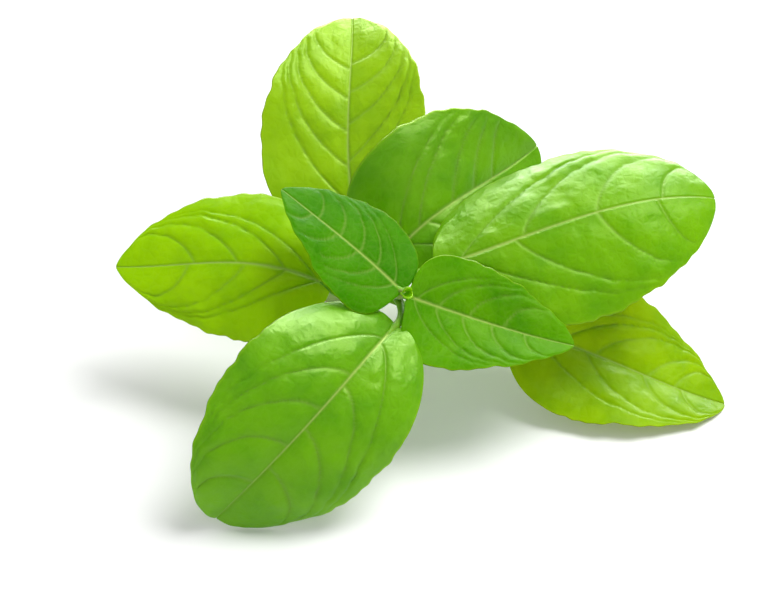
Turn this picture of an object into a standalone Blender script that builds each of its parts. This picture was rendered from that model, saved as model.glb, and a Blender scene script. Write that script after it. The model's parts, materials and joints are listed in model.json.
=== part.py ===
"""A cut sprig of sweet basil: a square stem that lies back to its cut end, leaves in pairs and a bud.

Lengths are in metres and angles in degrees. A direction is an azimuth, measured from +X towards +Y,
and an elevation above the table. The sprig stands on the tips of two leaves and on its cut end.
"""

from collections import namedtuple

import bmesh
import bpy
import numpy as np

# The stem, from its bud down to its cut end.
STEM_LENGTH = 0.0740
STEM_DIRECTION = (108.7, -36.5)
STEM_WIDTH_AT_BUD = 0.0024
STEM_WIDTH_AT_CUT = 0.0040
STEM_SQUARENESS = 4.0
NODE_SWELLING = 0.22
NODE_SPREAD = 0.0022

# What every leaf shares.
BLADE_THICKNESS = 0.0005
STALK_WIDTH = 0.0017
STALK_FLATNESS = 0.8
STALK_WIDTH_PER_LENGTH = 0.006
MIDRIB_WIDTH = 0.0013
MIDRIB_MOST_SHARE = 0.25
MIDRIB_DEPTH = 0.0009
TIP_WIDTH = 0.0004
LEAF_GAP = 0.0003

# The bud: two folded leaflets that carry on from the top of the stem and lean apart.
LEAFLET_LENGTH = 0.0042
LEAFLET_WIDTH = 0.0026
LEAFLET_THICKNESS = 0.0009
LEAFLET_FULLNESS = 0.7
LEAFLET_END_SHARE = 0.02
LEAFLET_LEAN = 24.0

# How finely the shapes are divided.
PATH_STEPS = 60
STALK_RINGS = 5
BLADE_RINGS = 18
RING_COLUMNS = 9
STEM_RING_POINTS = 16
STEM_RINGS = 36
LEAFLET_RINGS = 7

# along: from the bud to where the leaf leaves the stem. The stalk turns from its first direction to
# the blade's base, and the midrib goes on through the middle direction to the one at the tip.
# roll and twist turn the blade about its midrib, fold raises both halves and droop bends them over.
# left_side and right_side: a share of half the width, and the roundness at the base and at the tip.
Leaf = namedtuple(
    "Leaf",
    "name along stalk length width first base middle tip roll twist fold droop left_side right_side",
)
LEAVES = (
    Leaf(
        "inner_left_leaf", along=0.0015, stalk=0.0030, length=0.0350, width=0.0245,
        first=(160, 60), base=(137, 26),
        middle=(152, 30), tip=(148, 20),
        roll=14, twist=-20, fold=1, droop=-4,
        left_side=(1.04, 0.50, 0.80), right_side=(1.02, 0.47, 0.71),
    ),
    Leaf(
        "inner_right_leaf", along=0.0015, stalk=0.0030, length=0.0400, width=0.027,
        first=(-17, -32), base=(13, -32),
        middle=(-8, -15), tip=(4, -16),
        roll=-50, twist=2, fold=8, droop=0,
        left_side=(0.98, 0.40, 0.66), right_side=(1.02, 0.42, 0.80),
    ),
    Leaf(
        "front_leaf", along=0.009, stalk=0.0108, length=0.0682, width=0.043,
        first=(-56, -21.5), base=(-118.5, 6.5),
        middle=(-149.5, -38.5), tip=(-208.5, -56.5),
        roll=24, twist=37, fold=11, droop=-40.5,
        left_side=(0.97, 0.49, 0.48), right_side=(1.04, 0.53, 0.68),
    ),
    Leaf(
        "right_leaf", along=0.009, stalk=0.0140, length=0.0706, width=0.0475,
        first=(75.5, -6), base=(11, 12.5),
        middle=(12, 13), tip=(18, -20.5),
        roll=-25.5, twist=-3.5, fold=-5.5, droop=-26.5,
        left_side=(0.88, 0.47, 0.61), right_side=(1.02, 0.45, 0.54),
    ),
    Leaf(
        "left_leaf", along=0.025, stalk=0.0129, length=0.0547, width=0.036,
        first=(206.5, -10), base=(190.5, 49.5),
        middle=(166, -10.5), tip=(183.5, 4.5),
        roll=40, twist=24, fold=1.5, droop=-21,
        left_side=(1.02, 0.48, 0.78), right_side=(0.99, 0.47, 0.72),
    ),
    Leaf(
        "lower_right_leaf", along=0.025, stalk=0.0334, length=0.0592, width=0.037,
        first=(-18, -17), base=(17, -21),
        middle=(-12.5, -19), tip=(1.5, -19.5),
        roll=-57, twist=42.5, fold=12, droop=-7.5,
        left_side=(1.03, 0.43, 0.67), right_side=(1.02, 0.42, 0.66),
    ),
    Leaf(
        "back_right_leaf", along=0.037, stalk=0.0120, length=0.0516, width=0.0445,
        first=(-3.5, 48.5), base=(15.5, 62.5),
        middle=(43, 4), tip=(40, 19),
        roll=-52.5, twist=-29, fold=7, droop=-10.5,
        left_side=(1.02, 0.32, 0.57), right_side=(1.00, 0.45, 0.65),
    ),
    Leaf(
        "back_left_leaf", along=0.037, stalk=0.0184, length=0.0556, width=0.043,
        first=(87, 22), base=(110.5, 48.5),
        middle=(87.5, 44), tip=(93, 13),
        roll=31, twist=-16, fold=6.5, droop=18,
        left_side=(1.02, 0.36, 0.62), right_side=(0.97, 0.47, 0.65),
    ),
)

# Colour of each piece, and how rough and how shiny it is.
COLOURS = {
    "stem": (0.22, 0.36, 0.07),
    "bud": (0.42, 0.66, 0.05),
    "inner_left_leaf": (0.10, 0.34, 0.02),
    "inner_right_leaf": (0.11, 0.37, 0.02),
    "front_leaf": (0.11, 0.33, 0.02),
    "right_leaf": (0.18, 0.43, 0.03),
    "left_leaf": (0.24, 0.43, 0.04),
    "lower_right_leaf": (0.23, 0.44, 0.04),
    "back_right_leaf": (0.12, 0.31, 0.03),
    "back_left_leaf": (0.26, 0.46, 0.05),
}
LEAF_ROUGHNESS = 0.38
STEM_ROUGHNESS = 0.5


def clear_scene():
    for obj in list(bpy.data.objects):
        bpy.data.objects.remove(obj, do_unlink=True)


def unit(vectors):
    return vectors / np.linalg.norm(vectors, axis=-1, keepdims=True)


def pointing(azimuth, elevation):
    """Unit vectors for azimuths and elevations in degrees."""
    azimuth = np.radians(azimuth)
    elevation = np.radians(elevation)
    flat = np.cos(elevation)
    return np.stack([np.cos(azimuth) * flat, np.sin(azimuth) * flat, np.sin(elevation)], axis=-1)


def through_three(first, middle, last, share):
    """The parabola that has these values at 0, a half and 1."""
    ends = first * (1 - share) * (1 - 2 * share) + last * share * (2 * share - 1)
    return ends + middle * 4 * share * (1 - share)


def walk(start, directions, length):
    """Points reached from start by following evenly spaced directions."""
    steps = unit(directions[1:] + directions[:-1]) * length / (len(directions) - 1)
    return np.vstack([start, start + np.cumsum(steps, axis=0)])


def blade_reach(leaf, side, share):
    """How far a blade reaches to one side at a share of its length."""
    widest_share, at_base, at_tip = side
    widest = at_base / (at_base + at_tip)
    most = widest**at_base * (1 - widest) ** at_tip
    reach = leaf.width / 2 * widest_share * share**at_base * (1 - share) ** at_tip / most
    return max(reach, TIP_WIDTH / 2)


def carried_sides(directions, start_side):
    """A side vector carried along a path without turning about it."""
    sides = []
    side = start_side
    for direction in directions:
        side = unit(side - direction * (side @ direction))
        sides.append(side)
    return np.array(sides)


def at_shares(values, shares):
    """Unit vectors read off an evenly spaced list of them."""
    places = np.linspace(0, 1, len(values))
    return unit(np.stack([np.interp(shares, places, values[:, k]) for k in range(3)], axis=1))


def points_at(values, shares):
    """Points read off an evenly spaced list of them."""
    places = np.linspace(0, 1, len(values))
    return np.stack([np.interp(shares, places, values[:, k]) for k in range(3)], axis=1)


def stem_direction():
    return pointing(*STEM_DIRECTION)


def stem_sides():
    """The level direction across the stem, and the one that rises from its upper side."""
    side = unit(np.cross(stem_direction(), [0.0, 0.0, 1.0]))
    return side, np.cross(side, stem_direction())


def stem_half_width(along):
    """Half the width across the stem's flats, which swells a little where leaves grow."""
    share = along / STEM_LENGTH
    plain = STEM_WIDTH_AT_BUD + (STEM_WIDTH_AT_CUT - STEM_WIDTH_AT_BUD) * share
    for place in sorted({leaf.along for leaf in LEAVES}):
        plain *= 1 + NODE_SWELLING * np.exp(-(((along - place) / NODE_SPREAD) ** 2))
    return plain / 2


def stem_reach(along):
    """How far the stem's rounded corners reach from its middle."""
    return stem_half_width(along) * 2 ** (0.5 - 1 / STEM_SQUARENESS)


def leaf_paths(leaf):
    """Points and directions of the stalk, from the stem's middle, and of the midrib."""
    share = np.linspace(0, 1, PATH_STEPS + 1)
    turn = [leaf.first[k] + (leaf.base[k] - leaf.first[k]) * share for k in range(2)]
    stalk_directions = pointing(*turn)
    stalk = walk(stem_direction() * leaf.along, stalk_directions, leaf.stalk)
    turn = [through_three(leaf.base[k], leaf.middle[k], leaf.tip[k], share) for k in range(2)]
    midrib_directions = pointing(*turn)
    midrib = walk(stalk[-1], midrib_directions, leaf.length)
    return stalk, stalk_directions, midrib, midrib_directions


def blade_frames(leaf, directions):
    """Side and up vectors along the midrib, with the blade's roll and twist."""
    level_side = unit(np.cross(directions[0], [0.0, 0.0, 1.0]))
    sides = carried_sides(directions, level_side)
    ups = np.cross(sides, directions)
    angle = np.radians(leaf.roll + leaf.twist * np.linspace(0, 1, len(directions)))[:, None]
    return sides * np.cos(angle) + ups * np.sin(angle), ups * np.cos(angle) - sides * np.sin(angle)


def bent_across(leaf, across):
    """Sideways and upward places of points this far across a blade, which folds and then droops."""
    bend = np.radians(leaf.droop) * np.abs(across) / (leaf.width / 2)
    bend = np.where(np.abs(bend) < 1e-4, 1e-4, bend)
    fold = np.radians(leaf.fold)
    sideways = across * (np.sin(fold + bend) - np.sin(fold)) / bend
    upward = np.abs(across) * (np.cos(fold) - np.cos(fold + bend)) / bend
    return sideways, upward


def stalk_section(leaf):
    """Across and up places of the stalk's outline, the top row and then the bottom one back."""
    width = STALK_WIDTH + STALK_WIDTH_PER_LENGTH * leaf.length
    angle = np.linspace(np.pi, -np.pi, 2 * RING_COLUMNS - 1)[:-1]
    return width / 2 * np.cos(angle), width / 2 * STALK_FLATNESS * np.sin(angle)


def blade_section(leaf, share):
    """Across and up places of the blade's outline, with the midrib below its middle."""
    left = blade_reach(leaf, leaf.left_side, share)
    right = blade_reach(leaf, leaf.right_side, share)
    rib = min(MIDRIB_WIDTH / 2, min(left, right) * MIDRIB_MOST_SHARE)
    half = (RING_COLUMNS - 1) // 2
    across = np.concatenate([-np.linspace(left, rib, half), [0.0], np.linspace(rib, right, half)])
    reach = np.where(across < 0, left, right)
    thickness = BLADE_THICKNESS / 2 * np.sqrt(np.clip(1 - (across / reach) ** 2, 0, 1))
    depth = thickness.copy()
    depth[half] += MIDRIB_DEPTH * (1 - share)
    across_ring = np.concatenate([across, across[-2:0:-1]])
    sideways, upward = bent_across(leaf, across_ring)
    lift = np.concatenate([thickness, -depth[-2:0:-1]])
    return sideways, upward + lift


def cut_square(ring, direction, outward, distance):
    """The stalk's first ring slid along the stalk onto the plane that faces the stem."""
    slide = (distance - ring @ outward) / (direction @ outward)
    return ring + slide[:, None] * direction


def leaf_rings(leaf):
    """All the outlines of a leaf, from beside the stem to the tip."""
    stalk, stalk_directions, midrib, midrib_directions = leaf_paths(leaf)
    sides, ups = blade_frames(leaf, midrib_directions)
    axis = stem_direction()
    origin = axis * leaf.along
    outward = unit(stalk_directions[0] - axis * (stalk_directions[0] @ axis))
    reach = stem_reach(leaf.along) + LEAF_GAP
    beyond = np.argmax((stalk - origin) @ outward > reach)
    shares = np.linspace(beyond / PATH_STEPS, 1, STALK_RINGS + 1)
    across, up = stalk_section(leaf)
    back_sides = carried_sides(stalk_directions[::-1], sides[0])[::-1]
    rings = []
    for share in shares:
        direction = at_shares(stalk_directions, [share])[0]
        side = at_shares(back_sides, [share])[0]
        ring = points_at(stalk, [share])[0] + np.outer(across, side)
        rings.append(ring + np.outer(up, np.cross(side, direction)))
    first = at_shares(stalk_directions, shares[:1])[0]
    rings[0] = cut_square(rings[0] - origin, first, outward, reach) + origin
    for share in (1 - np.cos(np.pi * np.linspace(0, 1, BLADE_RINGS + 2)[1:-1])) / 2:
        across, up = blade_section(leaf, share)
        ring = points_at(midrib, [share])[0] + np.outer(across, at_shares(sides, [share])[0])
        rings.append(ring + np.outer(up, at_shares(ups, [share])[0]))
    rings.append(tip_ring(midrib[-1], sides[-1], ups[-1]))
    return rings


def tip_ring(end, side, up):
    """The small last outline at the very tip."""
    angle = np.linspace(np.pi, -np.pi, 2 * RING_COLUMNS - 1)[:-1]
    reach = TIP_WIDTH / 2
    return end + np.outer(reach * np.cos(angle), side) + np.outer(reach / 2 * np.sin(angle), up)


def stem_rings():
    """Square outlines with rounded corners, from the bud to the cut end."""
    axis = stem_direction()
    side, up = stem_sides()
    angle = np.linspace(0, 2 * np.pi, STEM_RING_POINTS, endpoint=False)
    cosine = np.cos(angle)
    sine = np.sin(angle)
    rounded = (np.abs(cosine) ** STEM_SQUARENESS + np.abs(sine) ** STEM_SQUARENESS) ** (-1 / STEM_SQUARENESS)
    rings = []
    for along in np.linspace(0, STEM_LENGTH, STEM_RINGS):
        reach = stem_half_width(along) * rounded
        rings.append(axis * along + np.outer(reach * cosine, side) + np.outer(reach * sine, up))
    return rings


def leaflet_rings(turn):
    """Outlines of one folded leaflet of the bud, which leans away from its twin."""
    rise = -stem_direction()
    side, out = stem_sides()
    out = out * turn
    lean = np.radians(LEAFLET_LEAN)
    direction = rise * np.cos(lean) + out * np.sin(lean)
    normal = out * np.cos(lean) - rise * np.sin(lean)
    clear = (LEAFLET_THICKNESS + LEAF_GAP) / 2
    root = rise * LEAF_GAP + out * clear
    angle = np.linspace(0, 2 * np.pi, STEM_RING_POINTS, endpoint=False)
    rings = []
    for share in np.linspace(LEAFLET_END_SHARE, 1 - LEAFLET_END_SHARE, LEAFLET_RINGS):
        swell = np.sin(np.pi * share) ** LEAFLET_FULLNESS
        middle = root + direction * LEAFLET_LENGTH * share
        across = np.outer(LEAFLET_WIDTH / 2 * swell * np.cos(angle), side)
        rings.append(middle + across + np.outer(LEAFLET_THICKNESS / 2 * swell * np.sin(angle), normal))
    return rings


def outline_edges(mesh, ring):
    """The edges of one closed outline, made in the mesh."""
    corners = [mesh.verts.new(point) for point in ring]
    return [mesh.edges.new(pair) for pair in zip(corners, corners[1:] + corners[:1])]


def skinned(name, rings, material, parent, place):
    """One closed body through the rings, as an object whose origin is at place."""
    mesh = bmesh.new()
    loops = [outline_edges(mesh, ring - place) for ring in rings]
    for near, far in zip(loops, loops[1:]):
        bmesh.ops.bridge_loops(mesh, edges=near + far)
    for end in (loops[0], loops[-1]):
        bmesh.ops.contextual_create(mesh, geom=end)
    bmesh.ops.recalc_face_normals(mesh, faces=mesh.faces[:])
    for face in mesh.faces:
        face.smooth = len(face.verts) == 4
    data = bpy.data.meshes.new(name)
    mesh.to_mesh(data)
    mesh.free()
    data.materials.append(material)
    obj = bpy.data.objects.new(name, data)
    obj.location = place
    obj.parent = parent
    bpy.context.scene.collection.objects.link(obj)
    return obj


def plain_material(name, colour, roughness):
    material = bpy.data.materials.new(name)
    material.use_nodes = True
    shader = material.node_tree.nodes["Principled BSDF"]
    shader.inputs["Base Color"].default_value = (*colour, 1.0)
    shader.inputs["Roughness"].default_value = roughness
    shader.inputs["Metallic"].default_value = 0.0
    return material


def sprig_pieces():
    """Name, rings, origin, colour and roughness of every piece, with the bud at the origin."""
    axis = stem_direction()
    pieces = [("stem", stem_rings(), np.zeros(3), COLOURS["stem"], STEM_ROUGHNESS)]
    for leaf in LEAVES:
        origin = axis * leaf.along
        pieces.append((leaf.name, leaf_rings(leaf), origin, COLOURS[leaf.name], LEAF_ROUGHNESS))
    for name, turn in (("bud_leaflet_lower", -1), ("bud_leaflet_upper", 1)):
        pieces.append((name, leaflet_rings(turn), np.zeros(3), COLOURS["bud"], LEAF_ROUGHNESS))
    return pieces


def standing_point(pieces):
    """Where the sprig's parent goes, so that it stands on the table with its middle at the origin."""
    points = np.vstack([ring for piece in pieces for ring in piece[1]])
    low = points.min(axis=0)
    high = points.max(axis=0)
    return -np.array([(low[0] + high[0]) / 2, (low[1] + high[1]) / 2, low[2]])


def build_sprig():
    clear_scene()
    pieces = sprig_pieces()
    sprig = bpy.data.objects.new("sprig", None)
    sprig.location = standing_point(pieces)
    bpy.context.scene.collection.objects.link(sprig)
    for name, rings, place, colour, roughness in pieces:
        skinned(name, rings, plain_material(name, colour, roughness), sprig, place)


build_sprig()
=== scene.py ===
"""Sweet basil sprig: the leaves, stem and bud as they look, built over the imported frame.

Lengths are in metres, angles in degrees and pattern sizes in millimetres. A direction is an azimuth,
measured from +X towards +Y, and an elevation above the table.
"""

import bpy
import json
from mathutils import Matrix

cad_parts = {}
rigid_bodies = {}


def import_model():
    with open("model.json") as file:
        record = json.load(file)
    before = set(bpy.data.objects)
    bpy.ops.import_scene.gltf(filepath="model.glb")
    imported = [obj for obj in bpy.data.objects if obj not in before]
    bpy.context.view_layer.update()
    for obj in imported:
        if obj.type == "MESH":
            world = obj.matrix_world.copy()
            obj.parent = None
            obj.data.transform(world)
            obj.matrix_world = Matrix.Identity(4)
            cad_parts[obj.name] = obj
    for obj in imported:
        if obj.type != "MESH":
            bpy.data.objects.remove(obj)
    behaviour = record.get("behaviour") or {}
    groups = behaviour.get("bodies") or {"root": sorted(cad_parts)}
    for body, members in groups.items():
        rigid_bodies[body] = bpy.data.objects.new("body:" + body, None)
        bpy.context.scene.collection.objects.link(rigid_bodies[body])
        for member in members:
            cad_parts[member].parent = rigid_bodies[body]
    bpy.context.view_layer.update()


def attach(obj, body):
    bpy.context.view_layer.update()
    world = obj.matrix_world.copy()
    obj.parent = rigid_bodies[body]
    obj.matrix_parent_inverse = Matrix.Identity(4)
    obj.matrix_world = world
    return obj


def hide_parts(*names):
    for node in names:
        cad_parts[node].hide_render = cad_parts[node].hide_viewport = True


bl_info = {
    "name": "Basil Sprig",
    "version": (1, 0, 0),
    "blender": (4, 5, 0),
    "location": "3D View > Sidebar > Basil Sprig",
    "description": "Builds a cut sprig of sweet basil with veined leaves, ribs, stem, bud and studio",
    "category": "Object",
}

import json
from collections import namedtuple

import bmesh
import bpy
import numpy as np
from bpy.props import FloatProperty, FloatVectorProperty, IntProperty, PointerProperty
from mathutils import Vector

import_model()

# The stem's line, which starts at the bud.
STEM_LENGTH = 0.0740
STEM_DIRECTION = (108.7, -36.5)
STEM_WIDTH_AT_BUD = 0.0024
STEM_WIDTH_AT_CUT = 0.0040
NODE_SWELLING = 0.22
NODE_SPREAD = 0.0022
STALK_WIDTH = 0.0017
STALK_WIDTH_PER_LENGTH = 0.006
PATH_STEPS = 60
PER_MM = 1000.0

# Short words for the nodes used most.
SUM = "ShaderNodeMath"
EASE = "ShaderNodeMapRange"
BLEND = "ShaderNodeMix"
READ = "ShaderNodeAttribute"
NAMED = "GeometryNodeInputNamedAttribute"
NOISE = "ShaderNodeTexNoise"
CELLS = "ShaderNodeTexVoronoi"
SOFT = {"interpolation_type": "SMOOTHSTEP"}
COLOUR = {"data_type": "RGBA"}

# Where the bud stands in the frame, and how far every piece stays above the table.
BUD_PLACE = np.array([-0.00540, -0.02640, 0.04562])
TABLE_CLEARANCE = 0.00008

# A blade's first row of points as a share of its length, and how much its rows crowd towards its ends.
FIRST_ROW = 0.0012
ROWS_TOWARD_ENDS = 0.09

# The shortest leaf with teeth, and the lengths from which a leaf has its full relief and its full grooves.
SHORTEST_TOOTHED = 0.01
FULL_RELIEF_FROM = 0.048
FULL_GROOVES_FROM = 0.03

# How many points the lines have.
STEM_POINTS = 150
STALK_POINTS = 24
MIDRIB_POINTS = 72
SIDE_RIB_POINTS = 26

# How wide and how deep each ring of the cut end is, from its rim inwards.
CUT_RINGS = ((0.00018, 0.0), (0.00012, -0.00012), (0.0006, -0.00010), (0.0005, 0.00006))

# Each light's direction, distance and width.
KEY_LIGHT = ((0.42, 0.03, 0.9), 0.8, 0.46)
BACK_LIGHT = ((0.12, 0.82, 0.57), 0.95, 1.2)
FLOOR_REACH = 3.0
FLOOR_CORNERS = ((-1, -1), (1, -1), (1, 1), (-1, 1))

# along to droop: as the solid leaf. The stalk turns from its first direction to the blade's base, and
# the midrib goes on through the middle direction to the one at the tip.
# left_side and right_side: a share of the widest half width, and the roundness at the base and at the tip.
# left and right: shares of the midrib where side veins start. lean and arch: how they sweep forward.
Leaf = namedtuple(
    "Leaf",
    "name along stalk length width first base middle tip roll twist fold droop"
    " left_side right_side left right lean arch",
)
LEAVES = (
    Leaf(
        "inner_left_leaf", along=0.0015, stalk=0.0002, length=0.0365, width=0.0245,
        first=(175.5, 49.5), base=(141, 28),
        middle=(153, 30), tip=(147, 23.5),
        roll=16.5, twist=-22.5, fold=1.5, droop=-3.5,
        left_side=(1.05, 0.27, 0.76), right_side=(1.03, 0.44, 0.71),
        left=(0.08, 0.23, 0.38, 0.55, 0.75), right=(0.08, 0.23, 0.37, 0.53, 0.70),
        lean=0.04, arch=0.5,
    ),
    Leaf(
        "inner_right_leaf", along=0.0015, stalk=0.0009, length=0.0423, width=0.027,
        first=(-23.5, -43.5), base=(21.5, -37.5),
        middle=(-6.5, -17), tip=(-3, -11.5),
        roll=-58, twist=19, fold=10, droop=0,
        left_side=(0.94, 0.29, 0.64), right_side=(1.08, 0.22, 0.80),
        left=(0.08, 0.22, 0.40, 0.60), right=(0.06, 0.20, 0.36, 0.53, 0.72),
        lean=0.06, arch=0.55,
    ),
    Leaf(
        "front_leaf", along=0.009, stalk=0.0108, length=0.0682, width=0.043,
        first=(-56, -21.5), base=(-118.5, 6.5),
        middle=(-149.5, -38.5), tip=(-208.5, -56.5),
        roll=24, twist=37, fold=11, droop=-40.5,
        left_side=(0.97, 0.49, 0.48), right_side=(1.04, 0.50, 0.68),
        left=(0.11, 0.31, 0.50, 0.68), right=(0.09, 0.27, 0.42, 0.58, 0.76),
        lean=0.03, arch=0.7,
    ),
    Leaf(
        "right_leaf", along=0.009, stalk=0.0140, length=0.0706, width=0.0475,
        first=(75.5, -6), base=(11, 12.5),
        middle=(12, 13), tip=(18, -20.5),
        roll=-25.5, twist=-3.5, fold=-5.5, droop=-26.5,
        left_side=(0.88, 0.47, 0.61), right_side=(1.02, 0.45, 0.54),
        left=(0.09, 0.31, 0.57, 0.80), right=(0.10, 0.28, 0.57, 0.78),
        lean=0.2, arch=0.5,
    ),
    Leaf(
        "left_leaf", along=0.025, stalk=0.0129, length=0.0547, width=0.036,
        first=(206.5, -10), base=(190.5, 49.5),
        middle=(166, -10.5), tip=(183.5, 4.5),
        roll=40, twist=24, fold=1.5, droop=-21,
        left_side=(1.02, 0.48, 0.78), right_side=(0.99, 0.47, 0.72),
        left=(0.07, 0.22, 0.40, 0.67), right=(0.08, 0.23, 0.44, 0.64),
        lean=0.33, arch=0.5,
    ),
    Leaf(
        "lower_right_leaf", along=0.025, stalk=0.0334, length=0.0592, width=0.037,
        first=(-18, -17), base=(17, -21),
        middle=(-12.5, -19), tip=(1.5, -19.5),
        roll=-57, twist=42.5, fold=12, droop=-7.5,
        left_side=(1.03, 0.43, 0.67), right_side=(1.02, 0.42, 0.66),
        left=(0.10, 0.25, 0.41, 0.65, 0.77), right=(0.14, 0.37, 0.63, 0.80),
        lean=0.3, arch=0.55,
    ),
    Leaf(
        "back_right_leaf", along=0.037, stalk=0.0120, length=0.0516, width=0.0445,
        first=(-3.5, 48.5), base=(15.5, 62.5),
        middle=(43, 4), tip=(40, 19),
        roll=-52.5, twist=-29, fold=7, droop=-10.5,
        left_side=(1.02, 0.32, 0.57), right_side=(1.00, 0.45, 0.65),
        left=(0.06, 0.20, 0.41, 0.55, 0.68), right=(0.08, 0.25, 0.45, 0.66),
        lean=0.48, arch=0.12,
    ),
    Leaf(
        "back_left_leaf", along=0.037, stalk=0.0184, length=0.0556, width=0.043,
        first=(87, 22), base=(110.5, 48.5),
        middle=(87.5, 44), tip=(93, 13),
        roll=31, twist=-16, fold=6.5, droop=18,
        left_side=(1.02, 0.36, 0.62), right_side=(0.97, 0.47, 0.65),
        left=(0.08, 0.26, 0.42, 0.57, 0.71), right=(0.10, 0.28, 0.45, 0.60, 0.74),
        lean=0.4, arch=0.3,
    ),
)
LEAFLETS = (
    Leaf(
        "bud_leaflet_lower", along=-0.0003, stalk=0.0009, length=0.0044, width=0.0040,
        first=(200, 30), base=(288.7, 10), middle=(288.7, 18), tip=(288.7, 60),
        roll=0, twist=0, fold=12, droop=75, left_side=(1.0, 0.45, 0.6), right_side=(1.0, 0.45, 0.6),
        left=(0.1, 0.5), right=(0.1, 0.5), lean=0.2, arch=0.3,
    ),
    Leaf(
        "bud_leaflet_upper", along=-0.0003, stalk=0.0009, length=0.0040, width=0.0032,
        first=(215, 46), base=(288.7, 66), middle=(288.7, 52), tip=(288.7, 20),
        roll=180, twist=0, fold=12, droop=70, left_side=(1.0, 0.45, 0.6), right_side=(1.0, 0.45, 0.6),
        left=(0.1, 0.5), right=(0.1, 0.5), lean=0.2, arch=0.3,
    ),
)

# Colours as sRGB codes: the deep green, the light green and the colour that shines through. Then the gloss.
# Each leaf's two greens are partly its own tone and partly painted light and shade: they are set lighter or
# darker leaf by leaf to match how brightly each leaf shows, and the bud's leaflets are painted brighter
# against their own shade.
LEAF_TONES_AND_PAINTED_LIGHT = {
    "inner_left_leaf": ("#227400", "#529800", "#9CDA00", 0.06),
    "inner_right_leaf": ("#2E8000", "#66A800", "#B6E200", 0.2),
    "front_leaf": ("#348300", "#73B200", "#BDE800", 0.9),
    "right_leaf": ("#479100", "#7CB600", "#BDE300", 0.5),
    "left_leaf": ("#6DB200", "#A2DC00", "#DFED00", 0.2),
    "lower_right_leaf": ("#62A500", "#A1D300", "#DCDC00", 0.2),
    "back_right_leaf": ("#357900", "#6CA300", "#B1E400", 1.0),
    "back_left_leaf": ("#69A300", "#9ACA00", "#D4E700", 0.9),
    "bud_leaflet_lower": ("#74BE00", "#A4E200", "#C4F010", 0.3),
    "bud_leaflet_upper": ("#7CC600", "#ACE800", "#CCF418", 0.3),
}


def linear(code):
    """An sRGB code such as #4E9E10 as linear red, green and blue."""
    values = [int(code[k : k + 2], 16) / 255 for k in (1, 3, 5)]
    return tuple(v / 12.92 if v <= 0.04045 else ((v + 0.055) / 1.055) ** 2.4 for v in values)


# Shape rules, which the solid leaves share.


def unit(vectors):
    return vectors / np.linalg.norm(vectors, axis=-1, keepdims=True)


def pointing(azimuth, elevation):
    """Unit vectors for azimuths and elevations in degrees."""
    azimuth = np.radians(azimuth)
    elevation = np.radians(elevation)
    flat = np.cos(elevation)
    return np.stack([np.cos(azimuth) * flat, np.sin(azimuth) * flat, np.sin(elevation)], axis=-1)


def through_three(first, middle, last, share):
    """The parabola that has these values at 0, a half and 1."""
    ends = first * (1 - share) * (1 - 2 * share) + last * share * (2 * share - 1)
    return ends + middle * 4 * share * (1 - share)


def walk(start, directions, length):
    """Points reached from start by following evenly spaced directions."""
    steps = unit(directions[1:] + directions[:-1]) * length / (len(directions) - 1)
    return np.vstack([start, start + np.cumsum(steps, axis=0)])


def side_width(share, side):
    """Half width of one side of a blade at a share of its length, as a share of its widest half width."""
    widest_share, at_base, at_tip = side
    widest = at_base / (at_base + at_tip)
    most = widest**at_base * (1 - widest) ** at_tip
    return widest_share * share**at_base * (1 - share) ** at_tip / most


def carried_sides(directions, start_side):
    """A side vector carried along a path without turning about it."""
    sides = []
    side = start_side
    for direction in directions:
        side = unit(side - direction * (side @ direction))
        sides.append(side)
    return np.array(sides)


def read_off(values, shares):
    """Rows of an evenly spaced list, read off at these shares of its length."""
    places = np.linspace(0, 1, len(values))
    return np.stack([np.interp(shares, places, values[:, k]) for k in range(3)], axis=1)


def leaf_paths(leaf):
    """Points of the stalk and of the midrib, and the blade's side and up vectors."""
    share = np.linspace(0, 1, PATH_STEPS + 1)
    turn = [leaf.first[k] + (leaf.base[k] - leaf.first[k]) * share for k in range(2)]
    start = BUD_PLACE + pointing(*STEM_DIRECTION) * leaf.along
    stalk = walk(start, pointing(*turn), leaf.stalk)
    turn = [through_three(leaf.base[k], leaf.middle[k], leaf.tip[k], share) for k in range(2)]
    directions = pointing(*turn)
    midrib = walk(stalk[-1], directions, leaf.length)
    level_side = unit(np.cross(directions[0], [0.0, 0.0, 1.0]))
    sides = carried_sides(directions, level_side)
    ups = np.cross(sides, directions)
    angle = np.radians(leaf.roll + leaf.twist * share)[:, None]
    turned_sides = sides * np.cos(angle) + ups * np.sin(angle)
    return stalk, midrib, turned_sides, ups * np.cos(angle) - sides * np.sin(angle)


def bent_across(leaf, across):
    """Sideways and upward places, and the slope, of points this far across a blade."""
    bend = np.radians(leaf.droop) * np.abs(across) / (leaf.width / 2)
    bend = np.where(np.abs(bend) < 1e-4, 1e-4, bend)
    fold = np.radians(leaf.fold)
    sideways = across * (np.sin(fold + bend) - np.sin(fold)) / bend
    upward = np.abs(across) * (np.cos(fold) - np.cos(fold + bend)) / bend
    return sideways, upward, (fold + bend) * np.sign(across)


def half_widths(leaf, shares, tooth=0.0):
    """The blade's reach to its left and to its right down its length, with low uneven teeth."""
    reaches = []
    for side, phase in ((leaf.left_side, 0.4), (leaf.right_side, 2.1)):
        places = shares * leaf.length * PER_MM
        uneven = np.sin(places / 0.83 + phase) * np.sin(places / 3.1 + 2 * phase + leaf.roll)
        uneven += 0.8 * np.sin(places / 1.9 + 3 * phase + leaf.roll)
        outer = np.clip((shares - 0.2) * 5, 0, 1) * np.clip((0.98 - shares) * 12, 0, 1)
        reaches.append(leaf.width / 2 * side_width(shares, side) + tooth * uneven * outer)
    return reaches


def across_at(leaf, shares, across_share, tooth=0.0):
    """Distance across the blade of points at these shares of its reach, from -1 on the left to 1."""
    left, right = half_widths(leaf, shares, tooth)
    return np.where(across_share < 0, left[:, None], right[:, None]) * across_share


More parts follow.
